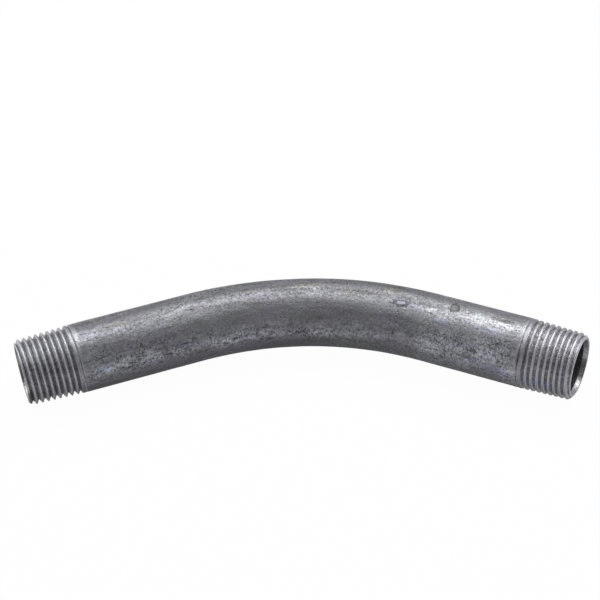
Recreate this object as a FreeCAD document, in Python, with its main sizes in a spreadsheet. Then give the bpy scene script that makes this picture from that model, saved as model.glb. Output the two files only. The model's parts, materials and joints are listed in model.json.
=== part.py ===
import FreeCAD, Part
import math
import os

import Sketcher
from FreeCAD import Placement, Rotation, Vector

# One-piece 45 degree pipe bend, trade size 1/2 in, with tapered 14 TPI male threads on both
# ends. It lies flat: the plane of the bend is horizontal, +Z up, the crown of the arch towards
# +Y, the long leg towards -X and the short leg towards +X. The origin is the bottom centre of
# its box, on the surface that it lies on.

doc = FreeCAD.newDocument("pipe_elbow")

# ---------------------------------------------------------------- driving dimensions (mm, deg)
DIMENSIONS = [
    ("pipe_outer_dia", 21.34, "outer diameter of the pipe"),
    ("pipe_bore_dia", 16.05, "inner diameter of the pipe"),
    ("bend_angle", 45.0, "turn of the centre line"),
    ("bend_radius", 96.0, "centre line radius of the bend"),
    ("long_leg", 54.4, "tangent point to end face, long leg"),
    ("short_leg", 48.0, "tangent point to end face, short leg"),
    ("thread_pitch", 1.8143, "14 threads per inch"),
    ("taper_half_angle", 1.7899, "1 in 16 on the diameter"),
    ("crest_dia_small_end", 20.30, "over the crests, in the plane of the end face"),
    ("thread_depth", 1.22, "crest to root"),
    ("root_flat", 0.06, "width of the flat at the root"),
    ("lead_in_turns", 1.0, "turns of the cut outside the end face"),
    ("thread_turns", 8.5, "full-form turns inside the end face"),
    ("overlap_turns", 0.03, "how far the full form runs into the run-out"),
    ("runout_turns", 1.6, "turns over which the cut climbs out of the pipe"),
    ("runout_half_angle", 26.0, "half angle of the cone that the run-out climbs"),
    ("clearance", 0.04, "height above the crests where the cut turns straight-sided"),
    ("long_start", 329.0, "start of the long leg's thread, about the leg"),
    ("short_start", 275.0, "start of the short leg's thread, about the leg"),
    ("end_chamfer", 1.10, "outer chamfer at each end face, along the pipe"),
    ("end_face_dia", 18.60, "outer diameter of the flat end face"),
    ("ream_dia", 17.00, "bore diameter at the mouth after reaming"),
    ("ream_depth", 1.40, "depth of the reamed bevel"),
]
sheet = doc.addObject("Spreadsheet::Sheet", "Dimensions")
for row, (alias, value, note) in enumerate(DIMENSIONS, start=1):
    sheet.set("A%d" % row, alias)
    sheet.set("B%d" % row, repr(value))
    sheet.set("C%d" % row, note)
    sheet.setAlias("B%d" % row, alias)
doc.recompute()


def size(alias):
    return float(sheet.get(alias))


# ---------------------------------------------------------------- shared expressions
D = "Dimensions."
HALF = "(%sbend_angle / 2)" % D
TAPER = "tan(%staper_half_angle)" % D
PITCH = D + "thread_pitch"
# Centres of the two end faces. The crown of the centre line is at (0, 0) in the body and the
# centre of the bend at (0, -bend_radius).
SAGITTA = "%sbend_radius * (1 - cos(%s))" % (D, HALF)
LONG_X = "-(%sbend_radius * sin(%s) + %slong_leg * cos(%s))" % (D, HALF, D, HALF)
LONG_Y = "-(%s + %slong_leg * sin(%s))" % (SAGITTA, D, HALF)
SHORT_X = "%sbend_radius * sin(%s) + %sshort_leg * cos(%s)" % (D, HALF, D, HALF)
SHORT_Y = "-(%s + %sshort_leg * sin(%s))" % (SAGITTA, D, HALF)
LONG = (LONG_X, LONG_Y, HALF)
SHORT = (SHORT_X, SHORT_Y, "180 - %s" % HALF)


# ---------------------------------------------------------------- helpers
def origin_feature(body, role):
    """A body's own origin plane, by its role."""
    for feature in body.Origin.OriginFeatures:
        if feature.Role == role:
            return feature
    raise LookupError(role)


def leg_sketch(body, name, leg, about="0"):
    """A sketch whose X axis is a leg's own axis, from its end face into the pipe.

    leg: x and y of the end face's centre and the turn of the leg about Z. about: turn of the
    sketch about the leg.
    """
    sketch = body.newObject("Sketcher::SketchObject", name)
    sketch.AttachmentSupport = [(origin_feature(body, "XY_Plane"), "")]
    sketch.MapMode = "FlatFace"
    sketch.setExpression(
        "AttachmentOffset",
        "create(<<placement>>; create(<<vector>>; %s; %s; 0); "
        "create(<<rotation>>; create(<<vector>>; 0; 0; 1); %s) * "
        "create(<<rotation>>; create(<<vector>>; 1; 0; 0); %s))" % (leg + (about,)),
    )
    doc.recompute()
    return sketch


def outline(sketch, corners):
    """A closed polygon, with every corner dimensioned from the sketch's origin.

    corners: x, y, and the expressions that hold them. A corner on an axis of the sketch has
    None for that expression. Expressions give the signed coordinate.
    """
    n = len(corners)
    for i in range(n):
        a, b = corners[i], corners[(i + 1) % n]
        sketch.addGeometry(
            Part.LineSegment(Vector(a[0], a[1], 0), Vector(b[0], b[1], 0)), False
        )
    for i in range(n):
        sketch.addConstraint(Sketcher.Constraint("Coincident", i, 2, (i + 1) % n, 1))
    for i, (x, y, x_text, y_text) in enumerate(corners):
        for kind, value, text, axis in (
            ("DistanceX", x, x_text, -2),
            ("DistanceY", y, y_text, -1),
        ):
            if text is None:
                sketch.addConstraint(Sketcher.Constraint("PointOnObject", i, 1, axis))
            elif value >= 0:
                k = sketch.addConstraint(Sketcher.Constraint(kind, -1, 1, i, 1, value))
                sketch.setExpression("Constraints[%d]" % k, text)
            else:
                k = sketch.addConstraint(Sketcher.Constraint(kind, i, 1, -1, 1, -value))
                sketch.setExpression("Constraints[%d]" % k, "-(%s)" % text)
    doc.recompute()


def finished(feature, before, sign):
    """Stop where a feature failed or changed the volume the wrong way."""
    doc.recompute()
    if "Invalid" in feature.State or "Error" in feature.State:
        raise RuntimeError("%s: %s" % (feature.Name, feature.State))
    shape = feature.Shape
    if shape.isNull() or not shape.isValid() or len(shape.Solids) != 1:
        raise RuntimeError("%s: no single valid solid" % feature.Name)
    if sign * (shape.Volume - before) <= 0.5:
        raise RuntimeError("%s changed the volume by %g" % (feature.Name, shape.Volume - before))
    print("%-14s %+10.2f mm3" % (feature.Name, shape.Volume - before))
    return feature


def volume(body):
    return 0.0 if body.Shape.isNull() else body.Shape.Volume


# ---------------------------------------------------------------- features of the pipe
def straight_leg(body, name, leg, length):
    """A straight leg with its reamed mouth: the half section, turned about the leg's axis."""
    ro, rb = size("pipe_outer_dia") / 2, size("pipe_bore_dia") / 2
    sketch = leg_sketch(body, name + "_section", leg)
    outline(
        sketch,
        [
            (0, size("ream_dia") / 2, None, D + "ream_dia / 2"),
            (size("ream_depth"), rb, D + "ream_depth", D + "pipe_bore_dia / 2"),
            (size(length), rb, D + length, D + "pipe_bore_dia / 2"),
            (size(length), ro, D + length, D + "pipe_outer_dia / 2"),
            (0, ro, None, D + "pipe_outer_dia / 2"),
        ],
    )
    before = volume(body)
    turned = body.newObject("PartDesign::Revolution", name)
    turned.Profile = sketch
    turned.ReferenceAxis = (sketch, ["H_Axis"])
    turned.Angle = 360.0
    turned.Refine = False
    return finished(turned, before, 1)


def bent_length(body, name):
    """The bend: the pipe's ring section, turned about the vertical line through its centre."""
    sketch = body.newObject("Sketcher::SketchObject", name + "_section")
    sketch.AttachmentSupport = [(origin_feature(body, "YZ_Plane"), "")]
    sketch.MapMode = "FlatFace"
    sketch.setExpression("AttachmentOffset.Base.x", "-%sbend_radius" % D)
    doc.recompute()
    for alias in ("pipe_outer_dia", "pipe_bore_dia"):
        centre = Vector(size("bend_radius"), 0, 0)
        k = sketch.addGeometry(Part.Circle(centre, Vector(0, 0, 1), size(alias) / 2), False)
        sketch.addConstraint(Sketcher.Constraint("PointOnObject", k, 3, -1))
        c = sketch.addConstraint(
            Sketcher.Constraint("DistanceX", -1, 1, k, 3, size("bend_radius"))
        )
        sketch.setExpression("Constraints[%d]" % c, D + "bend_radius")
        c = sketch.addConstraint(Sketcher.Constraint("Diameter", k, size(alias)))
        sketch.setExpression("Constraints[%d]" % c, D + alias)
    doc.recompute()
    before = volume(body)
    bend = body.newObject("PartDesign::Revolution", name)
    bend.Profile = sketch
    bend.ReferenceAxis = (sketch, ["V_Axis"])
    bend.Midplane = True
    bend.setExpression("Angle", D + "bend_angle")
    bend.Refine = False
    return finished(bend, before, 1)


def groove(body, name, leg, about, start, turns, half_angle):
    """A right-hand 60 degree thread groove along one leg, on a cone of the given half angle.

    start: expression for the first root's distance inside the end face, in pitches. The section
    is the V of the thread up to the crests and straight-sided above them, so that neighbouring
    turns of the cut stay apart.
    """
    turns_in = {
        "-%slead_in_turns" % D: -size("lead_in_turns"),
        "%sthread_turns" % D: size("thread_turns"),
    }[start]
    tan = math.tan(math.radians(size("taper_half_angle")))
    tan30 = math.tan(math.radians(30))
    at = turns_in * size("thread_pitch")
    crest = size("crest_dia_small_end") / 2 + at * tan
    flat = size("root_flat") / 2
    half = flat + (size("thread_depth") + size("clearance")) * tan30
    at_text = "(%s) * %s" % (start, PITCH)
    crest_text = "%screst_dia_small_end / 2 + %s * %s" % (D, at_text, TAPER)
    flat_text = "%sroot_flat / 2" % D
    half_text = "(%s + (%sthread_depth + %sclearance) * tan(30))" % (flat_text, D, D)

    def corner(offset, sign, offset_text, height, height_text):
        text = "%s %s %s" % (at_text, "+" if sign > 0 else "-", offset_text)
        return (at + sign * offset, crest + height, text, crest_text + height_text)

    root = (-size("thread_depth"), " - %sthread_depth" % D)
    shoulder = (size("clearance"), " + %sclearance" % D)
    top = (1.0, " + 1")
    sketch = leg_sketch(body, name + "_section", leg, about)
    outline(
        sketch,
        [
            corner(flat, -1, flat_text, *root),
            corner(flat, 1, flat_text, *root),
            corner(half, 1, half_text, *shoulder),
            corner(half, 1, half_text, *top),
            corner(half, -1, half_text, *top),
            corner(half, -1, half_text, *shoulder),
        ],
    )
    before = volume(body)
    cut = body.newObject("PartDesign::SubtractiveHelix", name)
    cut.Profile = sketch
    cut.ReferenceAxis = (sketch, ["H_Axis"])
    cut.Mode = "pitch-height-angle"
    cut.setExpression("Pitch", PITCH)
    cut.setExpression("Height", "(%s) * %s" % (turns, PITCH))
    cut.setExpression("Angle", half_angle)
    cut.Refine = False
    return finished(cut, before, -1)


def nose(body, name, leg):
    """The outside of a threaded end, turned down: the 1 in 16 taper over the crests, which
    meets the pipe's own surface inside the thread, and the outer chamfer."""
    ro = size("pipe_outer_dia") / 2
    tan = math.tan(math.radians(size("taper_half_angle")))
    rc = size("crest_dia_small_end") / 2
    rf = size("end_face_dia") / 2
    c = size("end_chamfer")
    far = (ro + 0.03 - rc) / tan
    crest = "%screst_dia_small_end / 2" % D
    outside = "%spipe_outer_dia / 2 + 1" % D
    sketch = leg_sketch(body, name + "_section", leg, "33")
    outline(
        sketch,
        [
            (0, rf, None, "%send_face_dia / 2" % D),
            (c, rc + c * tan, "%send_chamfer" % D, "%s + %send_chamfer * %s" % (crest, D, TAPER)),
            (
                far,
                ro + 0.03,
                "(%spipe_outer_dia / 2 + 0.03 - %s) / %s" % (D, crest, TAPER),
                "%spipe_outer_dia / 2 + 0.03" % D,
            ),
            (
                far,
                ro + 1,
                "(%spipe_outer_dia / 2 + 0.03 - %s) / %s" % (D, crest, TAPER),
                outside,
            ),
            (-0.5, ro + 1, "-0.5", outside),
            (-0.5, rf, "-0.5", "%send_face_dia / 2" % D),
        ],
    )
    before = volume(body)
    cut = body.newObject("PartDesign::Groove", name)
    cut.Profile = sketch
    cut.ReferenceAxis = (sketch, ["H_Axis"])
    cut.Angle = 360.0
    cut.Refine = False
    return finished(cut, before, -1)


# ---------------------------------------------------------------- the pipe bend
pipe = doc.addObject("PartDesign::Body", "pipe_bend")
pipe.Label = "pipe_bend"
straight_leg(pipe, "long_leg", LONG, "long_leg")
bent_length(pipe, "bend")
straight_leg(pipe, "short_leg", SHORT, "short_leg")

FULL = "%slead_in_turns + %sthread_turns + %soverlap_turns" % (D, D, D)
for end, leg in (("long", LONG), ("short", SHORT)):
    about = "%s%s_start" % (D, end)
    # the run-out starts half a turn round, where the full form has done its last half turn
    about_runout = "%s + 360 * (%sthread_turns - floor(%sthread_turns))" % (about, D, D)
    groove(
        pipe, end + "_thread", leg, about, "-%slead_in_turns" % D, FULL,
        "%staper_half_angle" % D,
    )
    groove(
        pipe, end + "_runout", leg, about_runout, "%sthread_turns" % D,
        "%srunout_turns" % D, "%srunout_half_angle" % D,
    )
    nose(pipe, end + "_nose", leg)

# The body's placement puts the origin at the bottom centre of the part's box: the ends of the
# box along X are the outer rims of the two end faces, its +Y side is the crown of the arch and
# its -Y side is the first crest of the long leg.
RIM = "%send_face_dia / 2 * sin(%s)" % (D, HALF)
X_LOW = "(%s - %s)" % (LONG_X, RIM)
X_HIGH = "(%s + %s)" % (SHORT_X, RIM)
Y_HIGH = "(%spipe_outer_dia / 2)" % D
Y_LOW = (
    "(%s + %send_chamfer * sin(%s) - (%screst_dia_small_end / 2 + %send_chamfer * %s) * cos(%s))"
    % (LONG_Y, D, HALF, D, D, TAPER, HALF)
)
pipe.setExpression("Placement.Base.x", "-(%s + %s) / 2" % (X_LOW, X_HIGH))
pipe.setExpression("Placement.Base.y", "-(%s + %s) / 2" % (Y_LOW, Y_HIGH))
pipe.setExpression("Placement.Base.z", "%spipe_outer_dia / 2" % D)
doc.recompute()

# ---------------------------------------------------------------- checks and export
NODES = [pipe]
for item in doc.Objects:
    if "Invalid" in item.State or "Error" in item.State:
        raise RuntimeError("%s: %s" % (item.Name, item.State))
for item in NODES:
    shape = item.Shape
    if shape.isNull() or not shape.isValid() or len(shape.Solids) != 1:
        raise RuntimeError("%s: not one valid solid" % item.Label)
    # the same pipe without threads, taper, chamfers and reamed mouths, for comparison
    wall = math.pi / 4 * (size("pipe_outer_dia") ** 2 - size("pipe_bore_dia") ** 2)
    length = (
        size("long_leg")
        + size("short_leg")
        + math.radians(size("bend_angle")) * size("bend_radius")
    )
    print(
        item.Label,
        "volume %.1f mm3, plain pipe %.1f mm3, length %.1f mm" % (
            shape.Volume, wall * length, length,
        ),
        shape.BoundBox,
    )

os.makedirs("parts", exist_ok=True)
for item in NODES:
    item.Shape.exportStep("parts/%s.step" % item.Label)
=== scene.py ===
"""Looks of a galvanised 45 degree pipe elbow with a male taper thread on each end."""
import json
import math

import bpy
import numpy as np
from mathutils import Euler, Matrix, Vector

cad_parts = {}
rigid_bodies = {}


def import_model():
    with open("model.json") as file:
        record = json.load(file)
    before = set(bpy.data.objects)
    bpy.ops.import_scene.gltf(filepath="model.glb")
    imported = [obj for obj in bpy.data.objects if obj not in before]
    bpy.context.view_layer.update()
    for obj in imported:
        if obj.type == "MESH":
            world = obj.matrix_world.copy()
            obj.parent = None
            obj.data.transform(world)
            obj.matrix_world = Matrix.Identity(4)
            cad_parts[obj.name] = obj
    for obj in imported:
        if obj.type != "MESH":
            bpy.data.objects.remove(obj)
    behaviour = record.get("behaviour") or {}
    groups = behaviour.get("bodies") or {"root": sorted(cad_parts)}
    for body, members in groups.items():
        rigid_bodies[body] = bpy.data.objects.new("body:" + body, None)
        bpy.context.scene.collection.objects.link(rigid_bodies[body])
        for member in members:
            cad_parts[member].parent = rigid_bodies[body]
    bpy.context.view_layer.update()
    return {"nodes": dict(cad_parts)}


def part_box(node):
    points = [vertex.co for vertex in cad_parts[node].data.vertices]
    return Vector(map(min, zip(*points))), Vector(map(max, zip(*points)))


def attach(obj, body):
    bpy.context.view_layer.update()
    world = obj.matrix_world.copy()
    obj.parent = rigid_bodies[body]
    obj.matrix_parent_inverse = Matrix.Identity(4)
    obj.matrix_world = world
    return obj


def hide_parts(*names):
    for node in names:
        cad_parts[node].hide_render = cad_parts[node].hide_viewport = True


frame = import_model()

# ---------------------------------------------------------------- sizes, in mm, as the CAD has them
MM = 0.001
OUTER_R = 10.67
BORE_R = 8.025
BEND_R = 96.0
HALF = math.radians(22.5)
LONG_LEG = 54.4
SHORT_LEG = 48.0
ARC = 2 * HALF * BEND_R
LENGTH = LONG_LEG + ARC + SHORT_LEG
PITCH = 1.8143
CREST_R = 10.15          # at the end face, growing 1/32 mm per mm
TAPER = 1 / 32
DEPTH = 1.22
ROOT_FLAT = 0.06
FACE_R = 9.30            # outer edge of the end face
CHAMFER_RUN = 1.10
REAM_R = 8.50
REAM_RUN = 1.40
THREAD_ZONE = 19.0       # length of the skin that is laid out along the helix
LONG_CREST = 0.586       # where a crest stands, in turns
SHORT_CREST = 0.736

box_low, box_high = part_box("pipe_bend")
SHIFT = np.array([
    (LONG_LEG - SHORT_LEG) * math.cos(HALF) / 2,
    box_high.y / MM - OUTER_R,
    box_low.z / MM + OUTER_R,
])

AROUND = 180             # columns round the pipe, 2 degrees each


# ---------------------------------------------------------------- small tools
def smooth(a, b, x):
    t = np.clip((x - a) / (b - a), 0, 1)
    return t * t * (3 - 2 * t)


def soft_min(a, b, k):
    h = np.clip(0.5 + 0.5 * (b - a) / k, 0, 1)
    return b * (1 - h) + a * h - k * h * (1 - h)


def soft_max(a, b, k):
    return -soft_min(-a, -b, k)


class Field:
    """A smooth random height over the unrolled skin, zero mean and unit spread, closed round the pipe."""

    def __init__(self, seed, along, around):
        rng = np.random.RandomState(seed)
        self.nu, self.nt = 720, 268
        self.du, self.dt = LENGTH / (self.nu - 1), 2 * math.pi / self.nt
        g = rng.standard_normal((self.nu, self.nt))
        fu = np.fft.fftfreq(self.nu, d=self.du)[:, None]
        ft = np.fft.fftfreq(self.nt, d=self.dt * OUTER_R)[None, :]
        g = np.fft.ifft2(np.fft.fft2(g) * np.exp(-0.5 * math.pi ** 2 * ((fu * along) ** 2 + (ft * around) ** 2))).real
        self.g = (g - g.mean()) / g.std()

    def __call__(self, u, theta):
        a = np.clip(u / self.du, 0, self.nu - 1.001)
        b = np.mod(theta, 2 * math.pi) / self.dt
        i, j = a.astype(int), b.astype(int)
        p, q = a - i, b - j
        j = j % self.nt
        k = (j + 1) % self.nt
        g = self.g
        return (g[i, j] * (1 - p) + g[i + 1, j] * p) * (1 - q) + (g[i, k] * (1 - p) + g[i + 1, k] * p) * q


swell = Field(11, 16.0, 11.0)      # slow unevenness of the tube
lumps = Field(12, 2.2, 1.5)        # thickness of the zinc
grit = Field(13, 0.8, 0.8)         # pits
lines = Field(14, 34.0, 1.0)       # draw lines along the tube
nicks = Field(15, 1.1, 1.0)        # dents on the thread's crests
patch = Field(16, 10.0, 5.0)


def on_skin(u, theta, u0, theta0):
    """Distances in mm along and around from a point on the skin."""
    d = np.mod(theta - math.radians(theta0) + math.pi, 2 * math.pi) - math.pi
    return u - u0, d * OUTER_R


def skin_relief(u, theta):
    """Height of the zinc skin over the plain tube, in mm."""
    h = 0.030 * swell(u, theta) + 0.010 * lumps(u, theta) + 0.004 * lines(u, theta)
    h = h - 0.055 * smooth(1.55, 2.7, grit(u, theta)) * smooth(-0.9, 0.8, patch(u, theta))
    a, b = on_skin(u, theta, 121.6, 107.5)          # an oval knock with a raised middle
    r = np.sqrt((a / 2.7) ** 2 + (b / 1.45) ** 2)
    h = h - 0.16 * np.exp(-((r - 0.95) / 0.28) ** 2) + 0.04 * np.exp(-(r / 0.5) ** 2)
    a, b = on_skin(u, theta, 137.7, 90.0)           # a round pock
    r = np.sqrt((a / 1.5) ** 2 + (b / 1.6) ** 2)
    h = h - 0.07 * np.exp(-(r / 0.8) ** 4)
    for u0, t0, size in ((25.1, 70.0, 0.45), (26.9, 83.0, 0.5), (31.5, 96.0, 0.35), (109.5, 148.0, 0.5), (119.0, 187.0, 0.55), (143.0, 170.0, 0.45), (96.0, 196.0, 0.4)):
        a, b = on_skin(u, theta, u0, t0)
        h = h - 0.12 * np.exp(-((a * a + b * b) / size ** 2))
    return h


# marks on the skin, partly the coat's own patches and smudges, partly painted light and painted shade; the light marks
# lift the long leg's top edge and lower band and the short leg's middle band, and one is a painted highlight on the
# short leg; u, theta in degrees, half length along, half width around in degrees, strength
PALE_COAT_AND_PAINTED_LIGHT = (
    (34.0, 174.0, 13.0, 15.0, 0.62), (23.0, 176.0, 4.5, 14.0, 0.8), (47.0, 175.0, 9.0, 13.0, 0.5), (69.0, 176.0, 21.0, 12.0, 0.62),
    (32.0, 63.0, 18.0, 17.0, 0.95), (62.0, 65.0, 18.0, 15.0, 0.85),
    (94.0, 175.0, 14.0, 12.0, 0.75), (110.0, 172.0, 12.0, 9.0, 0.3), (132.0, 162.0, 5.0, 24.0, 0.5), (140.0, 150.0, 12.0, 22.0, 0.72),
    (152.0, 150.0, 9.0, 26.0, 0.95), (159.0, 185.0, 3.4, 26.0, 0.95), (148.5, 105.0, 11.0, 15.0, 0.72), (134.0, 112.0, 9.0, 12.0, 0.45),
    (66.0, 100.0, 14.0, 10.0, 0.3), (20.0, 108.0, 5.0, 12.0, 0.7), (31.0, 112.0, 5.0, 9.0, 0.5), (101.0, 106.0, 9.0, 8.0, 0.25),
    (48.0, 98.0, 8.0, 12.0, 0.35), (19.0, 182.0, 3.0, 14.0, 0.6), (83.0, 104.0, 7.0, 6.0, 0.2),
    (40.0, 262.0, 14.0, 16.0, 0.6), (92.0, 300.0, 20.0, 14.0, 0.5), (140.0, 285.0, 14.0, 18.0, 0.7), (60.0, 350.0, 18.0, 12.0, 0.5),
    (120.0, 20.0, 16.0, 12.0, 0.6), (30.0, 30.0, 10.0, 14.0, 0.5), (150.0, 345.0, 8.0, 16.0, 0.6),
)
# darker marks: the coat's own smudges and specks, and two faint wide ones on the crown that are painted shade dimming
# its highlight
DARK_SMUDGES_AND_PAINTED_SHADE = (
    (30.0, 177.0, 4.0, 3.6, 1.0), (23.4, 182.0, 1.0, 2.4, 0.8), (44.0, 128.0, 3.6, 2.4, 0.6), (48.0, 160.0, 2.6, 1.8, 0.8),
    (54.5, 130.0, 2.4, 3.4, 0.6), (54.0, 186.0, 2.4, 3.4, 0.7), (41.5, 159.0, 2.6, 1.8, 0.5), (35.0, 160.0, 1.8, 5.0, 0.5),
    (144.6, 170.0, 2.4, 2.6, 0.8), (137.3, 183.0, 1.3, 2.6, 0.7), (151.2, 155.0, 1.5, 3.4, 0.7), (153.0, 93.0, 4.6, 5.0, 0.7),
    (120.5, 164.0, 1.6, 3.0, 0.6), (75.0, 118.0, 5.0, 4.0, 0.5), (85.0, 96.0, 6.0, 2.0, 0.5), (77.6, 184.0, 0.5, 5.0, 0.6),
    (96.4, 161.0, 0.6, 2.2, 0.7), (109.2, 144.0, 0.8, 2.4, 0.6), (130.0, 101.0, 6.0, 1.6, 0.5), (118.3, 70.0, 5.0, 4.0, 0.5),
    (58.0, 166.0, 1.4, 4.0, 0.4), (73.5, 170.0, 1.2, 5.0, 0.4), (54.0, 107.0, 1.8, 3.0, 0.6), (53.0, 100.0, 1.2, 2.0, 0.6),
    (22.1, 92.5, 0.5, 3.0, 1.0), (23.9, 90.0, 0.45, 3.0, 1.0), (28.0, 100.0, 0.4, 2.0, 0.8), (21.6, 107.0, 0.5, 2.0, 0.7),
    (22.4, 128.0, 0.5, 2.0, 0.7), (118.3, 98.5, 0.35, 1.6, 1.0), (104.5, 166.0, 0.5, 1.6, 0.5), (28.2, 161.0, 0.4, 2.2, 0.6),
    (160.9, 148.0, 0.7, 15.0, 0.9), (163.2, 150.0, 0.6, 13.0, 0.8), (157.9, 141.0, 0.5, 7.0, 0.6), (66.0, 92.0, 16.0, 9.0, 0.24), (104.0, 98.0, 14.0, 9.0, 0.28),
    (60.0, 232.0, 5.0, 4.0, 0.7), (100.0, 255.0, 3.0, 5.0, 0.7), (130.0, 245.0, 6.0, 3.0, 0.6), (45.0, 320.0, 5.0, 4.0, 0.7),
    (110.0, 330.0, 4.0, 3.0, 0.7), (75.0, 15.0, 6.0, 3.0, 0.7), (140.0, 40.0, 4.0, 4.0, 0.6), (36.0, 285.0, 0.8, 3.0, 0.8),
)


BLUE = (
    (168.0, 189.0, 6.0, 13.0, 0.9), (156.0, 184.0, 5.0, 15.0, 1.0), (149.0, 176.0, 5.0, 10.0, 0.6), (23.0, 169.0, 4.0, 9.0, 1.0), (20.0, 186.0, 3.0, 9.0, 0.7), (50.0, 163.0, 4.0, 9.0, 0.8),
    (136.0, 125.0, 4.0, 7.0, 0.8), (150.0, 118.0, 6.0, 9.0, 0.7), (32.0, 178.0, 5.0, 4.0, 0.8), (121.4, 108.0, 3.0, 6.0, 0.6), (142.0, 150.0, 10.0, 14.0, 0.4),
    (70.0, 240.0, 9.0, 16.0, 0.7), (120.0, 300.0, 8.0, 14.0, 0.7), (40.0, 350.0, 7.0, 12.0, 0.7), (100.0, 30.0, 7.0, 12.0, 0.6),
)
WARM = (
    (117.0, 86.0, 5.0, 8.0, 0.9), (30.0, 98.0, 6.0, 8.0, 0.7), (88.0, 88.0, 9.0, 8.0, 0.9), (151.0, 92.0, 5.0, 5.0, 0.7), (74.0, 92.0, 6.0, 6.0, 0.5),
    (104.0, 96.0, 6.0, 8.0, 0.5), (50.0, 260.0, 9.0, 12.0, 0.6), (130.0, 340.0, 7.0, 10.0, 0.6), (60.0, 20.0, 8.0, 10.0, 0.5),
)
# glossier spots with lower roughness; they also make the colour a little lighter and less mottled, a painted highlight
# where the highlights fall
GLOSS_AND_PAINTED_HIGHLIGHT = (
    (146.5, 105.0, 8.0, 11.0, 0.85), (139.0, 103.0, 4.0, 7.0, 0.6), (155.0, 112.0, 4.0, 9.0, 0.8), (20.0, 108.0, 3.5, 9.0, 0.7),
    (29.0, 112.0, 4.0, 6.0, 0.5), (66.0, 104.0, 8.0, 5.0, 0.5), (48.0, 130.0, 12.0, 20.0, 0.5), (75.0, 135.0, 16.0, 20.0, 0.6),
    (110.0, 128.0, 12.0, 18.0, 0.5),
)


def dabs(u, theta, marks):
    """0 to 1: how much of the given marks lies on each point of the skin."""
    total = np.zeros(np.shape(u))
    for u0, t0, along, around, strength in marks:
        a, b = on_skin(u, theta, u0, t0)
        r = np.sqrt((a / along) ** 2 + (b / (math.radians(around) * OUTER_R)) ** 2)
        total = np.maximum(total, strength * (1 - smooth(0.35, 1.25, r)))
    return total


def thread_radius(s, psi, crest, relief):
    """Outer radius near an end. s is mm inside the end face, psi the angle about the inward axis, in turns."""
    phase = s / PITCH - psi - crest
    d = np.abs(np.mod(phase + 0.5, 1.0) - 0.5) * PITCH
    cone = CREST_R + s * TAPER
    cap = np.minimum(cone, OUTER_R)
    at_long = crest == LONG_CREST
    root = cone - (DEPTH if at_long else 1.04)
    run_out = (8.4 if at_long else 8.0) * PITCH
    root = np.where(s > run_out, root + (s - run_out) * (0.44 if at_long else 0.27), root)
    flank = root + np.maximum(0, PITCH / 2 - ROOT_FLAT / 2 - d) * math.sqrt(3)
    flank = soft_max(flank, root + 0.02, 0.07)
    nick = smooth(1.5, 2.6, nicks(s * 3.1 + crest * 40, psi * 2 * math.pi))
    r = soft_min(flank, cap - 0.09 * nick, 0.05)
    end = FACE_R + s * (CREST_R + 0.03 - FACE_R) / CHAMFER_RUN
    # a painted highlight along the end face's chamfer, along the last crests' edges and round the end face; it is
    # returned as a value under zero, which the material paints light
    edge = (1 - smooth(0.05, 0.22, np.abs(end - r))) * (s < 2.6)
    edge = np.maximum(edge, 0.8 * (1 - smooth(0.02, 0.11, np.abs(flank - cap))) * (s > 15.9))
    r = soft_min(r, end, 0.05)
    bare = smooth(16.6, 18.4, s)
    r = r + relief * (0.25 + 0.75 * bare)
    # groove depth, which the material turns into painted shade in the roots; the run-out's shallow grooves get a set
    # share of it
    depth = np.clip((cap - flank) / DEPTH, 0, 1)
    depth = np.where(s > run_out - 0.5, np.maximum(depth, 0.35 * smooth(0.05, 0.16, d)), depth)
    depth = np.where((s > run_out + 0.4) & (s < 18.2), np.clip((cap - flank) / 0.45, 0, 1) * 0.8 + 0.1, depth)
    edge = np.maximum(edge, 0.9 * (1 - smooth(0.12, 0.32, s)))
    return r, depth * (1 - edge) - 0.6 * edge


# ---------------------------------------------------------------- the skin's vertices
class Shell:
    def __init__(self):
        self.co, self.skin, self.cut, self.deep, self.inner, self.faces, self.count = [], [], [], [], [], [], 0

    def add(self, u, r, theta, cut, deep, inner):
        """Adds points at u along the centre line, r out from it, theta from the bend's outer side towards +Z. Returns their numbers."""
        u, r, theta = np.broadcast_arrays(np.asarray(u, float), np.asarray(r, float), np.asarray(theta, float))
        shape = u.shape
        u, r, theta = u.ravel(), r.ravel(), theta.ravel()
        # the short end isn't cut quite square
        u = u - 0.27 * (1 + r / 9 * np.cos(theta - math.radians(140))) * smooth(LENGTH - 9, LENGTH - 2, u)
        t = np.clip((u - LONG_LEG) / BEND_R, 0, 2 * HALF) - HALF
        extra = np.where(u < LONG_LEG, u - LONG_LEG, np.where(u > LONG_LEG + ARC, u - LONG_LEG - ARC, 0))
        x = BEND_R * np.sin(t) + extra * np.cos(t) + r * np.cos(theta) * np.sin(t)
        y = BEND_R * (np.cos(t) - 1) - extra * np.sin(t) + r * np.cos(theta) * np.cos(t)
        z = r * np.sin(theta)
        self.co.append(np.stack([x, y, z], 1) + SHIFT)
        self.skin.append(np.stack([u, OUTER_R * np.cos(theta), OUTER_R * np.sin(theta)], 1))
        for store, value in ((self.cut, cut), (self.deep, deep), (self.inner, inner)):
            store.append(np.broadcast_to(np.asarray(value, float), shape).ravel().copy())
        ids = np.arange(self.count, self.count + u.size).reshape(shape)
        self.count += u.size
        return ids

    def quad(self, a, b, c, d):
        for q in zip(a.ravel().tolist(), b.ravel().tolist(), c.ravel().tolist(), d.ravel().tolist()):
            f = [v for i, v in enumerate(q) if v != q[i - 1]]
            if len(f) > 2:
                self.faces.append(f)

    def band(self, ring_a, ring_b):
        """Faces between two closed rings."""
        self.quad(ring_a, np.roll(ring_a, -1), np.roll(ring_b, -1), ring_b)


shell = Shell()
theta = 2 * math.pi * np.arange(AROUND) / AROUND


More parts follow.
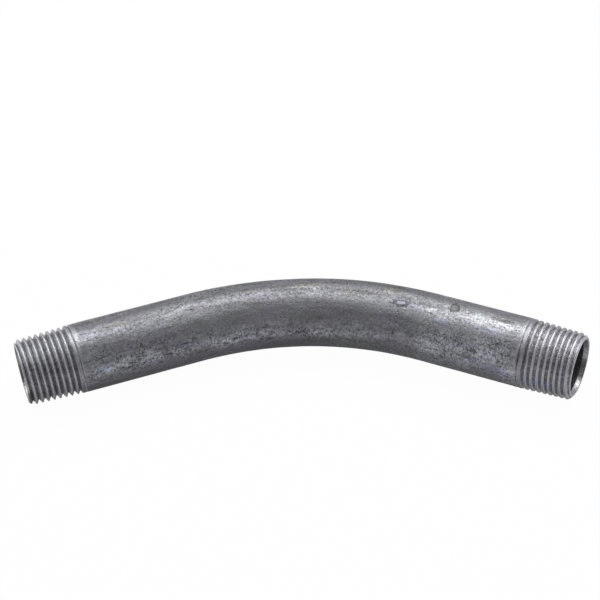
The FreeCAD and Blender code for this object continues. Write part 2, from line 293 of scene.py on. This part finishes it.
def thread_end(long_end):
    """One threaded end, out to THREAD_ZONE, laid out along the helix. Returns the ring at the end face's outer edge and the ring that the body joins."""
    crest = LONG_CREST if long_end else SHORT_CREST
    psi = np.arange(AROUND) / AROUND
    ang = 2 * math.pi * psi if long_end else math.pi - 2 * math.pi * psi
    side = np.array([-0.5, -0.47, -0.40, -0.31, -0.21, -0.12, -0.075, -0.03, 0.03, 0.075, 0.12, 0.21, 0.31, 0.40, 0.47])
    n = len(side)
    start, stop = 0.12, THREAD_ZONE
    first = -3
    last = int(stop / PITCH) + 3
    turns = np.concatenate([k + side for k in range(first, last)])
    s = PITCH * (turns[None, :] + psi[:, None] + crest)
    inside = (s > start + 0.02) & (s < stop - 0.05)
    s = np.clip(s, start, stop)

    def place(s, a, p):
        u = s if long_end else LENGTH - s
        r, deep = thread_radius(s, p, crest, skin_relief(u, a))
        cut = 1 - 0.55 * smooth(14.6, 16.2, s) - 0.45 * smooth(17.6, 18.5, s)
        cut = np.maximum(cut, 0.9 * np.clip(-deep / 0.5, 0, 1))
        degrees = np.degrees(np.mod(a, 2 * math.pi))
        if long_end:      # painted highlight on the upper side of the last turns
            painted_highlight_top = 0.8 * smooth(70, 88, degrees) * (1 - smooth(98, 126, degrees)) * smooth(15.0, 15.6, s) * (1 - smooth(18.2, 18.7, s))
            painted_highlight_top = painted_highlight_top * (1 - smooth(0.45, 0.8, deep))
            deep = deep * (1 - painted_highlight_top) - 0.40 * painted_highlight_top
            cut = np.maximum(cut, 0.9 * painted_highlight_top)
            # painted shade on the lower side of the end chamfer
            painted_shade_low_chamfer = smooth(174, 188, degrees) * (1 - smooth(232, 246, degrees)) * (1 - smooth(1.1, 1.5, s))
            deep = deep + 1.6 * painted_shade_low_chamfer
        else:             # painted shade in the roots eased along the lower inner side and along the top, and made stronger on the upper outer side
            root_shade_eased = smooth(152, 176, degrees) * (1 - smooth(236, 256, degrees))
            root_shade_eased = np.maximum(root_shade_eased, smooth(72, 84, degrees) * (1 - smooth(102, 118, degrees)))
            deep = np.where(deep > 0, deep * (1 - 0.36 * root_shade_eased), deep)
            deep = deep + 0.25 * (1 - smooth(60, 74, degrees)) * smooth(36, 50, degrees) * smooth(0.1, 0.4, deep)
        return u, r, cut, deep

    grid = np.empty(s.shape, int)
    u, r, cut, deep = place(np.full(AROUND, start), ang, psi)
    low = shell.add(u, r, ang, cut, deep, 0)
    u, r, cut, deep = place(np.full(AROUND, stop), ang, psi)
    high = shell.add(u, r, ang, cut, deep, 0)
    a2 = np.broadcast_to(ang[:, None], s.shape)[inside]
    p2 = np.broadcast_to(psi[:, None], s.shape)[inside]
    u, r, cut, deep = place(s[inside], a2, p2)
    grid[inside] = shell.add(u, r, a2, cut, deep, 0)
    below = ~inside & (s < PITCH * 3)
    grid[below] = np.broadcast_to(low[:, None], s.shape)[below]
    above = ~inside & ~below
    grid[above] = np.broadcast_to(high[:, None], s.shape)[above]
    for j in range(AROUND):
        here = grid[j]
        there = grid[j + 1] if j + 1 < AROUND else np.concatenate([grid[0][n:], np.full(n, high[0])])
        a, b, c, d = here[:-1], there[:-1], there[1:], here[1:]
        if long_end:
            shell.quad(a, b, c, d)
        else:
            shell.quad(a, b, c, d)
    # rounded outer edge of the end face
    rings = []
    for back, drop in ((0.045, 0.03), (0.0, 0.12)):
        s0 = np.full(AROUND, start)
        u, r, cut, deep = place(s0, ang, psi)
        r = r - (start - back) * 0.9 - drop * 0.4
        u = np.full(AROUND, back) if long_end else np.full(AROUND, LENGTH - back)
        rings.append(shell.add(u, r, ang, cut, deep * 0.3, 0))
    shell.band(rings[0], low)
    shell.band(rings[1], rings[0])
    return rings[1], high, ang


def in_order(ring, ang):
    """A ring's numbers in the order of theta."""
    return ring[np.argsort(np.mod(ang + 1e-9, 2 * math.pi))]


long_face, long_join, long_ang = thread_end(True)
short_face, short_join, short_ang = thread_end(False)
long_face, long_join = in_order(long_face, long_ang), in_order(long_join, long_ang)
short_face, short_join = in_order(short_face, short_ang), in_order(short_join, short_ang)

# the plain tube between the threads
stations = np.linspace(THREAD_ZONE, LENGTH - THREAD_ZONE, 158)[1:-1]
previous = long_join
for u in stations:
    ring = shell.add(np.full(AROUND, u), OUTER_R + skin_relief(np.full(AROUND, u), theta), theta, 0, 0, 0)
    shell.band(previous, ring)
    previous = ring
shell.band(previous, short_join)

# end faces, reamed mouths and the bore
bore_rough = Field(21, 3.0, 2.0)


def mouth(outer, at_long):
    rings = [outer]
    face_wave = Field(31 if at_long else 32, 1.0, 3.0)
    wave = 0.03 * face_wave(np.full(AROUND, 60.0), theta)
    for s, r in ((0.0, 9.02), (0.0, 8.76), (0.0, REAM_R + 0.10), (0.03, REAM_R + 0.02), (0.11, REAM_R - 0.05), (0.5, 8.33), (0.9, 8.19), (REAM_RUN - 0.08, 8.05), (REAM_RUN + 0.08, 8.03), (REAM_RUN + 0.6, BORE_R)):
        u = np.full(AROUND, s) if at_long else np.full(AROUND, LENGTH - s)
        rr = r + (wave if 0.02 < s < 0.6 else 0)
        # painted shade on one side of the ream: part of the bore's darker colour brought into it
        dim = np.mod(theta - math.radians(-42) + math.pi, 2 * math.pi) - math.pi
        dim = 0.62 * (1 - smooth(math.radians(15), math.radians(24), np.abs(dim)))
        in_ream = 0.02 < s < REAM_RUN
        # painted shade on the lower side of the long end's face
        painted_face_shade = np.mod(theta, 2 * math.pi)
        painted_face_shade = smooth(math.radians(172), math.radians(186), painted_face_shade) * (1 - smooth(math.radians(234), math.radians(248), painted_face_shade)) * at_long
        rings.append(shell.add(u, rr, theta, 2 if in_ream else 1, 0.3 if in_ream else -0.5 + 1.5 * painted_face_shade, dim if in_ream else (0 if s < REAM_RUN else 1)))
    for a, b in zip(rings[:-1], rings[1:]):
        shell.band(a, b)
    return rings[-1]


inner_long = mouth(long_face, True)
inner_short = mouth(short_face, False)
previous = inner_long
for u in np.linspace(REAM_RUN + 0.6, LENGTH - REAM_RUN - 0.6, 58)[1:-1]:
    uu = np.full(AROUND, u)
    ring = shell.add(uu, BORE_R + 0.02 * bore_rough(uu, theta), theta, 0, 0, 1)
    shell.band(previous, ring)
    previous = ring
shell.band(previous, inner_short)

mesh = bpy.data.meshes.new("galvanised_elbow")
mesh.from_pydata((np.concatenate(shell.co) * MM).tolist(), [], shell.faces)
mesh.validate(verbose=False)
skin_at = np.concatenate(shell.skin)
skin_u, skin_theta = skin_at[:, 0], np.arctan2(skin_at[:, 2], skin_at[:, 1])
for name, kind, data in (
    ("skin", "FLOAT_VECTOR", np.concatenate(shell.skin)),
    ("cut", "FLOAT", np.concatenate(shell.cut)),
    ("deep", "FLOAT", np.concatenate(shell.deep)),
    ("inner", "FLOAT", np.concatenate(shell.inner)),
    ("pale_and_lit_mask", "FLOAT", dabs(skin_u, skin_theta, PALE_COAT_AND_PAINTED_LIGHT)),
    ("dark_and_shade_mask", "FLOAT", dabs(skin_u, skin_theta, DARK_SMUDGES_AND_PAINTED_SHADE)),
    ("gloss_and_highlight_mask", "FLOAT", dabs(skin_u, skin_theta, GLOSS_AND_PAINTED_HIGHLIGHT)),
    ("blue", "FLOAT", dabs(skin_u, skin_theta, BLUE)),
    ("warm", "FLOAT", dabs(skin_u, skin_theta, WARM)),
):
    layer = mesh.attributes.new(name, kind, "POINT")
    layer.data.foreach_set("vector" if kind == "FLOAT_VECTOR" else "value", data.ravel().astype(np.float32))
elbow = bpy.data.objects.new("galvanised_elbow", mesh)
bpy.context.scene.collection.objects.link(elbow)

import bmesh
bm = bmesh.new()
bm.from_mesh(mesh)
loose = [v for v in bm.verts if not v.link_faces]
bmesh.ops.delete(bm, geom=loose, context="VERTS")
bmesh.ops.recalc_face_normals(bm, faces=bm.faces)
if bm.calc_volume(signed=True) < 0:
    bmesh.ops.reverse_faces(bm, faces=bm.faces)
print("open edges", sum(1 for e in bm.edges if not e.is_manifold), "faces", len(bm.faces), "triangles", sum(len(f.verts) - 2 for f in bm.faces), "volume mm3", round(bm.calc_volume() * 1e9, 1))
bm.to_mesh(mesh)
bm.free()
mesh.shade_smooth()


# ---------------------------------------------------------------- material
class Nodes:
    """Short calls for building a node tree."""

    def __init__(self, name):
        self.mat = bpy.data.materials.new(name)
        self.mat.use_nodes = True
        self.tree = self.mat.node_tree
        self.tree.nodes.clear()

    def add(self, kind, **settings):
        n = self.tree.nodes.new(kind)
        for k, v in settings.items():
            setattr(n, k, v)
        return n

    def link(self, a, b):
        self.tree.links.new(a, b)

    def feed(self, socket, value):
        if isinstance(value, bpy.types.NodeSocket):
            self.link(value, socket)
        else:
            socket.default_value = value

    def math(self, op, a, b=0.0, c=None, clamp=False):
        n = self.add("ShaderNodeMath", operation=op, use_clamp=clamp)
        self.feed(n.inputs[0], a)
        self.feed(n.inputs[1], b)
        if c is not None:
            self.feed(n.inputs[2], c)
        return n.outputs[0]

    def ramp(self, x, low, high, to_low=0.0, to_high=1.0):
        n = self.add("ShaderNodeMapRange", interpolation_type="SMOOTHSTEP")
        for i, v in enumerate((x, low, high, to_low, to_high)):
            self.feed(n.inputs[i], v)
        return n.outputs[0]

    def mix(self, factor, a, b, blend="MIX"):
        n = self.add("ShaderNodeMix", data_type="RGBA", blend_type=blend)
        self.feed(n.inputs[0], factor)
        for s, v in ((n.inputs[6], a), (n.inputs[7], b)):
            self.feed(s, v if isinstance(v, bpy.types.NodeSocket) else (*v, 1.0))
        return n.outputs[2]

    def attribute(self, name, output="Fac"):
        n = self.add("ShaderNodeAttribute", attribute_name=name)
        return n.outputs[output]

    def noise(self, vector, scale, detail=3.0, rough=0.55, stretch=None, offset=0.0, distortion=0.0):
        if stretch is not None or offset:
            m = self.add("ShaderNodeMapping")
            self.feed(m.inputs["Vector"], vector)
            m.inputs["Scale"].default_value = stretch or (1, 1, 1)
            m.inputs["Location"].default_value = (offset, offset * 0.7, offset * 1.3)
            vector = m.outputs[0]
        n = self.add("ShaderNodeTexNoise")
        self.feed(n.inputs["Vector"], vector)
        n.inputs["Scale"].default_value = scale
        n.inputs["Detail"].default_value = detail
        n.inputs["Roughness"].default_value = rough
        n.inputs["Distortion"].default_value = distortion
        return n.outputs["Fac"]

    def spot(self, skin, u0, theta0, along, around):
        """Distance from a point of the skin, scaled by those half sizes in mm: 0 at the point, about 1 on the oval's
        edge.
        """
        t = math.radians(theta0)
        d = self.add("ShaderNodeVectorMath", operation="SUBTRACT")
        self.feed(d.inputs[0], skin)
        d.inputs[1].default_value = (u0, OUTER_R * math.cos(t), OUTER_R * math.sin(t))
        m = self.add("ShaderNodeVectorMath", operation="MULTIPLY")
        self.link(d.outputs[0], m.inputs[0])
        m.inputs[1].default_value = (1 / along, 1 / around, 1 / around)
        l = self.add("ShaderNodeVectorMath", operation="LENGTH")
        self.link(m.outputs[0], l.inputs[0])
        return l.outputs["Value"]


g = Nodes("galvanised_steel")
skin = g.attribute("skin", "Vector")
cut = g.attribute("cut")
deep = g.attribute("deep")
inner = g.attribute("inner")

pale_and_lit_mask = g.attribute("pale_and_lit_mask")
dark_and_shade_mask = g.attribute("dark_and_shade_mask")
gloss_and_highlight_mask = g.attribute("gloss_and_highlight_mask")
clouds = g.noise(skin, 0.11, 4, 0.6, stretch=(0.35, 1, 1))
streaks = g.noise(skin, 0.62, 4, 0.6, stretch=(0.10, 1, 1), offset=31)
mottle = g.noise(skin, 0.46, 5, 0.68, stretch=(0.45, 1, 1), offset=57)
speckle = g.noise(skin, 1.15, 3, 0.7, offset=83)
fine = g.noise(skin, 2.3, 2, 0.6, offset=11)
dash = g.noise(skin, 1.3, 3, 0.6, stretch=(0.20, 1, 1), offset=19)
tint = g.noise(skin, 0.11, 3, 0.6, stretch=(0.5, 1, 1), offset=71)
cells = g.add("ShaderNodeTexVoronoi", feature="F1")
g.link(skin, cells.inputs["Vector"])
cells.inputs["Scale"].default_value = 0.85
cells.inputs["Randomness"].default_value = 1.0
chance = g.add("ShaderNodeSeparateColor")
g.link(cells.outputs["Color"], chance.inputs[0])
pits = g.math("MULTIPLY", g.ramp(cells.outputs["Distance"], 0.30, 0.14), g.ramp(chance.outputs[0], 0.55, 0.60))

# how strongly the coat is mottled here: the blooming coat is coarse, the dull metal between is smooth; the light marks
# bring painted light into it as well as the coat's own light patches
bloom_and_painted_light = g.math("ADD", pale_and_lit_mask, g.ramp(clouds, 0.46, 0.66, 0.0, 0.55), clamp=True)
contrast = g.math("ADD", 0.64, g.math("MULTIPLY", bloom_and_painted_light, 1.05))
contrast = g.math("MULTIPLY", contrast, g.math("SUBTRACT", 1.0, g.math("MULTIPLY", gloss_and_highlight_mask, 0.72)))

zinc = g.mix(g.ramp(streaks, 0.36, 0.64), (0.305, 0.306, 0.318), (0.375, 0.377, 0.392))
zinc = g.mix(g.math("MULTIPLY", bloom_and_painted_light, g.ramp(mottle, 0.32, 0.64, 0.40, 1.0)), zinc, (0.515, 0.523, 0.545))
hue = g.mix(g.ramp(tint, 0.50, 0.62), (1.0, 1.0, 1.0), (0.985, 1.01, 0.99))
hue = g.mix(g.ramp(tint, 0.49, 0.37), hue, (0.995, 0.98, 1.035))
hue_2 = g.noise(skin, 0.40, 3, 0.6, stretch=(0.5, 1, 1), offset=7)
hue = g.mix(g.ramp(hue_2, 0.58, 0.70, 0.0, 0.7), hue, (0.975, 0.99, 1.05))
hue = g.mix(g.ramp(hue_2, 0.42, 0.30, 0.0, 0.7), hue, (1.02, 1.015, 0.965))
hue = g.mix(g.math("MULTIPLY", g.attribute("blue"), g.ramp(mottle, 0.36, 0.58, 0.35, 1.0)), hue, (0.99, 1.02, 1.20))
hue = g.mix(g.math("MULTIPLY", g.attribute("warm"), g.ramp(mottle, 0.36, 0.58, 0.35, 1.0)), hue, (1.06, 1.05, 0.93))
zinc = g.mix(1.0, zinc, hue, blend="MULTIPLY")
level = g.math("MULTIPLY", g.math("SUBTRACT", mottle, 0.5), 1.0)
level = g.math("ADD", level, g.math("MULTIPLY", g.math("SUBTRACT", speckle, 0.5), 2.1))
level = g.math("ADD", level, g.math("MULTIPLY", g.math("SUBTRACT", fine, 0.5), 1.9))
level = g.math("ADD", 1.0, g.math("MULTIPLY", level, contrast))
level = g.math("MULTIPLY", level, g.math("SUBTRACT", 1.0, g.math("MULTIPLY", pits, g.math("MULTIPLY", contrast, 0.42))))
# darker smudges of the coat and streaks, with painted shade from the faint wide marks on the crown
smudge_and_painted_shade = g.math("ADD", g.math("MULTIPLY", dark_and_shade_mask, g.ramp(mottle, 0.38, 0.66, 1.0, 0.45)), g.math("MULTIPLY", g.ramp(dash, 0.61, 0.72), 0.50), clamp=True)
level = g.math("MULTIPLY", level, g.math("SUBTRACT", 1.0, g.math("MULTIPLY", smudge_and_painted_shade, 0.72)))
along = g.add("ShaderNodeSeparateXYZ")
g.link(skin, along.inputs[0])
# lighter along the short leg and towards the long end: partly the coat's own tone, partly painted light
level = g.math("MULTIPLY", level, g.ramp(along.outputs[0], 122.0, 134.0, 1.0, 1.15))
level = g.math("MULTIPLY", level, g.ramp(along.outputs[0], 138.0, 152.0, 1.0, 1.08))
level = g.math("MULTIPLY", level, g.ramp(along.outputs[0], 46.0, 16.0, 1.0, 1.06))
# painted highlight: the glossy spots are made a little lighter
level = g.math("MULTIPLY", level, g.math("ADD", 1.0, g.math("MULTIPLY", gloss_and_highlight_mask, 0.06)))
level = g.math("MAXIMUM", level, 0.22)
shade = g.add("ShaderNodeCombineColor")
for i in range(3):
    g.link(level, shade.inputs[i])
zinc = g.mix(1.0, zinc, shade.outputs[0], blend="MULTIPLY")

# machined thread under a thin coat, with painted light: painted highlight on the crests and along the edges, painted
# shade in the roots
thread_tone = g.mix(g.ramp(mottle, 0.35, 0.65), (0.47, 0.47, 0.485), (0.67, 0.67, 0.695))
grain = g.noise(skin, 1.7, 3, 0.75, offset=43)
turned = g.ramp(cut, 1.2, 1.8, 1.0, 0.15)
thread_tone = g.mix(g.math("MULTIPLY", turned, g.ramp(grain, 0.47, 0.34, 0.0, 0.70)), thread_tone, (0.16, 0.16, 0.168))
thread_tone = g.mix(g.math("MULTIPLY", turned, g.ramp(grain, 0.53, 0.64, 0.0, 0.70)), thread_tone, (0.90, 0.90, 0.93))
# painted highlight on the crests
thread_tone = g.mix(g.ramp(deep, 0.16, 0.03, 0.0, 0.8), thread_tone, (0.84, 0.84, 0.86))
# lighter end faces, with a painted highlight along the edges
thread_tone = g.mix(g.ramp(deep, -0.05, -0.45, 0.0, 0.8), thread_tone, (0.80, 0.80, 0.82))
# painted shade in the roots
thread_tone = g.mix(g.ramp(deep, 0.66, 1.0, 0.0, 0.70), thread_tone, (0.15, 0.15, 0.156))
thread_tone = g.mix(g.math("MULTIPLY", dark_and_shade_mask, g.ramp(grain, 0.42, 0.62, 0.75, 0.45)), thread_tone, (0.13, 0.13, 0.137))
thread_tone = g.mix(g.math("MULTIPLY", g.attribute("blue"), 0.85), thread_tone, (0.95, 0.98, 1.14), blend="MULTIPLY")
colour = g.mix(cut, zinc, thread_tone)
# the bore's darker colour is painted shade inside the tube
colour = g.mix(inner, colour, g.mix(g.ramp(mottle, 0.35, 0.6), (0.085, 0.085, 0.092), (0.15, 0.15, 0.158)))

# the oval knock: painted shade on its rim and a painted highlight on its raised middle
r = g.spot(skin, 121.4, 108.0, 2.5, 1.35)
r = g.math("ADD", r, g.math("MULTIPLY", g.math("SUBTRACT", speckle, 0.5), 2.2))
colour = g.mix(g.ramp(r, 1.35, 0.95, 0.0, 0.85), colour, (0.12, 0.12, 0.135))
colour = g.mix(g.ramp(r, 0.75, 0.30, 0.0, 0.72), colour, (0.62, 0.61, 0.67))
# the round pock: painted shade on its rim, a greyer middle
r = g.spot(skin, 137.7, 91.0, 1.5, 1.9)
r = g.math("ADD", r, g.math("MULTIPLY", g.math("SUBTRACT", speckle, 0.5), 1.6))
colour = g.mix(g.ramp(r, 1.25, 0.95, 0.0, 0.80), colour, (0.10, 0.105, 0.10))
colour = g.mix(g.ramp(r, 0.80, 0.45, 0.0, 0.75), colour, (0.34, 0.36, 0.35))

roughness = g.math("ADD", g.ramp(bloom_and_painted_light, 0.0, 1.0, 0.46, 0.38), g.ramp(speckle, 0.35, 0.65, 0.09, -0.06))
roughness = g.math("ADD", roughness, g.ramp(mottle, 0.35, 0.65, 0.05, -0.05))
roughness = g.math("ADD", roughness, g.math("MULTIPLY", gloss_and_highlight_mask, -0.07))
roughness = g.math("ADD", roughness, g.math("MULTIPLY", cut, -0.12))
roughness = g.math("ADD", roughness, g.math("MULTIPLY", inner, 0.18), clamp=True)

height = g.math("ADD", g.math("MULTIPLY", speckle, 0.8), g.math("MULTIPLY", fine, 0.35))
height = g.math("ADD", height, g.math("MULTIPLY", mottle, 0.9))
height = g.math("SUBTRACT", height, g.math("MULTIPLY", pits, 0.5))
height = g.math("ADD", height, g.math("MULTIPLY", g.math("MULTIPLY", grain, g.math("MULTIPLY", cut, turned)), 0.9))
bump = g.add("ShaderNodeBump")
bump.inputs["Strength"].default_value = 0.8
bump.inputs["Distance"].default_value = 0.00016
g.link(height, bump.inputs["Height"])

shader = g.add("ShaderNodeBsdfPrincipled")
g.link(colour, shader.inputs["Base Color"])
g.link(roughness, shader.inputs["Roughness"])
g.link(bump.outputs[0], shader.inputs["Normal"])
shader.inputs["Metallic"].default_value = 0.85
out = g.add("ShaderNodeOutputMaterial")
g.link(shader.outputs[0], out.inputs["Surface"])

mesh.materials.append(g.mat)
for polygon in mesh.polygons:
    polygon.material_index = 0
cad_part = frame["nodes"]["pipe_bend"]
if cad_part.data.materials:
    cad_part.data.materials[0] = g.mat

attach(elbow, "root")
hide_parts("pipe_bend")

# ---------------------------------------------------------------- floor, light and camera
def stage_piece(name, build, glow, albedo):
    """A white stage surface that the camera sees. It doesn't tint the object's reflections."""
    m = bpy.data.meshes.new(name)
    b = bmesh.new()
    build(b)
    b.to_mesh(m)
    b.free()
    o = bpy.data.objects.new(name, m)
    bpy.context.scene.collection.objects.link(o)
    n = Nodes(name + "_white")
    s = n.add("ShaderNodeBsdfPrincipled")
    s.inputs["Base Color"].default_value = (albedo, albedo, albedo, 1)
    s.inputs["Roughness"].default_value = 1.0
    s.inputs["Specular IOR Level"].default_value = 0.0
    s.inputs["Emission Color"].default_value = (1, 1, 1, 1)
    s.inputs["Emission Strength"].default_value = glow
    e = n.add("ShaderNodeOutputMaterial")
    n.link(s.outputs[0], e.inputs["Surface"])
    m.materials.append(n.mat)
    o.visible_glossy = False
    o.visible_diffuse = False
    return o


stage_piece("floor", lambda b: bmesh.ops.create_grid(b, x_segments=1, y_segments=1, size=6.0), 0.975, 0.03)
backdrop = stage_piece("backdrop", lambda b: bmesh.ops.create_icosphere(b, subdivisions=5, radius=5.5), 1.0, 0.0)
backdrop.visible_shadow = False
for stage_object in bpy.data.objects:
    if stage_object.name == "floor":
        stage_object.visible_shadow = False

world = bpy.data.worlds.new("studio")
bpy.context.scene.world = world
world.use_nodes = True
wt = world.node_tree
wc = wt.nodes.new("ShaderNodeTexCoord")
wx = wt.nodes.new("ShaderNodeSeparateXYZ")
wt.links.new(wc.outputs["Generated"], wx.inputs[0])
wr = wt.nodes.new("ShaderNodeMapRange")
wt.links.new(wx.outputs["Z"], wr.inputs[0])
for i, v in enumerate((-1.0, 1.0, 0.0, 1.0)):
    wr.inputs[i + 1].default_value = v
ramp = wt.nodes.new("ShaderNodeValToRGB")
wt.links.new(wr.outputs[0], ramp.inputs[0])
stops = ((0.0, 0.09), (0.12, 0.17), (0.27, 0.52), (0.45, 0.40), (0.66, 0.31), (0.85, 0.31), (1.0, 0.36))
while len(ramp.color_ramp.elements) < len(stops):
    ramp.color_ramp.elements.new(0.5)
for element, (place, value) in zip(ramp.color_ramp.elements, stops):
    element.position = place
    element.color = (value * 0.99, value * 0.985, value * 1.03, 1)


def lobe(direction, inner_degrees, outer_degrees):
    """1 in a round patch of the sky about a direction, falling to 0."""
    dot = wt.nodes.new("ShaderNodeVectorMath")
    dot.operation = "DOT_PRODUCT"
    wt.links.new(wc.outputs["Generated"], dot.inputs[0])
    dot.inputs[1].default_value = Vector(direction).normalized()
    fall = wt.nodes.new("ShaderNodeMapRange")
    fall.interpolation_type = "SMOOTHSTEP"
    wt.links.new(dot.outputs["Value"], fall.inputs[0])
    fall.inputs[1].default_value = math.cos(math.radians(outer_degrees))
    fall.inputs[2].default_value = math.cos(math.radians(inner_degrees))
    return fall.outputs[0]


def sky_mix(factor, weight, a, tone):
    scale = wt.nodes.new("ShaderNodeMath")
    scale.operation = "MULTIPLY"
    wt.links.new(factor, scale.inputs[0])
    scale.inputs[1].default_value = weight
    m = wt.nodes.new("ShaderNodeMix")
    m.data_type = "RGBA"
    wt.links.new(scale.outputs[0], m.inputs[0])
    wt.links.new(a, m.inputs[6])
    m.inputs[7].default_value = (*tone, 1)
    return m.outputs[2]


sky = sky_mix(lobe((0.08, -0.76, 0.62), 8, 48), 0.50, ramp.outputs[0], (0.10, 0.10, 0.104))
sky = sky_mix(lobe((-0.68, 0.12, -0.72), 12, 34), 1.0, sky, (0.40, 0.40, 0.415))
sky = sky_mix(lobe((0.66, 0.05, -0.75), 12, 34), 1.0, sky, (0.42, 0.42, 0.44))
sky = sky_mix(lobe((-0.87, 0.44, -0.22), 18, 38), 0.9, sky, (0.95, 0.95, 0.98))
sky = sky_mix(lobe((0.95, -0.25, -0.20), 10, 24), 0.8, sky, (0.07, 0.07, 0.073))
sky = sky_mix(lobe((0.965, 0.20, -0.14), 14, 26), 1.0, sky, (1.2, 1.2, 1.24))
sky = sky_mix(lobe((0.0, 0.98, 0.14), 8, 30), 0.6, sky, (0.12, 0.12, 0.124))
for side in (-1, 1):
    sky = sky_mix(lobe((0.93 * side, -0.20, 0.36), 14, 30), 0.9, sky, (0.05, 0.05, 0.052))
    sky = sky_mix(lobe((0.64 * side, 0.36, 0.68), 9, 19), 1.0, sky, (1.7, 1.7, 1.75))
wt.links.new(sky, wt.nodes["Background"].inputs[0])
wt.nodes["Background"].inputs[1].default_value = 1.0


def softbox(name, place, target, width, height, radiance, tint=(1, 1, 1)):
    lamp = bpy.data.lights.new(name, "AREA")
    lamp.shape = "RECTANGLE"
    lamp.size, lamp.size_y = width, height
    lamp.energy = radiance * width * height * math.pi
    lamp.color = tint
    o = bpy.data.objects.new(name, lamp)
    o.location = place
    o.rotation_euler = (Vector(target) - Vector(place)).to_track_quat("-Z", "Y").to_euler()
    bpy.context.scene.collection.objects.link(o)
    return o


softbox("overhead", (0.0, 0.24, 0.70), (0, 0.0, 0.01), 1.5, 0.40, 1.3)
softbox("right_back", (0.09, 0.40, 0.48), (0.05, 0.0, 0.01), 0.19, 0.20, 2.75, (0.97, 0.96, 1.0))

camera = bpy.data.cameras.new("camera")
camera.sensor_width = 36.0
camera.lens = 87.917
camera.shift_x = -0.0164
camera.clip_start = 0.01
camera_object = bpy.data.objects.new("camera", camera)
camera_object.location = (SHIFT + np.array([23.608, -349.779, 298.339])) * MM
camera_object.rotation_euler = Euler((0.873627, 0.035792, 0.03888), "XYZ")
bpy.context.scene.collection.objects.link(camera_object)
bpy.context.scene.camera = camera_object
bpy.context.scene.view_settings.view_transform = "Standard"
bpy.context.scene.view_settings.look = "None"
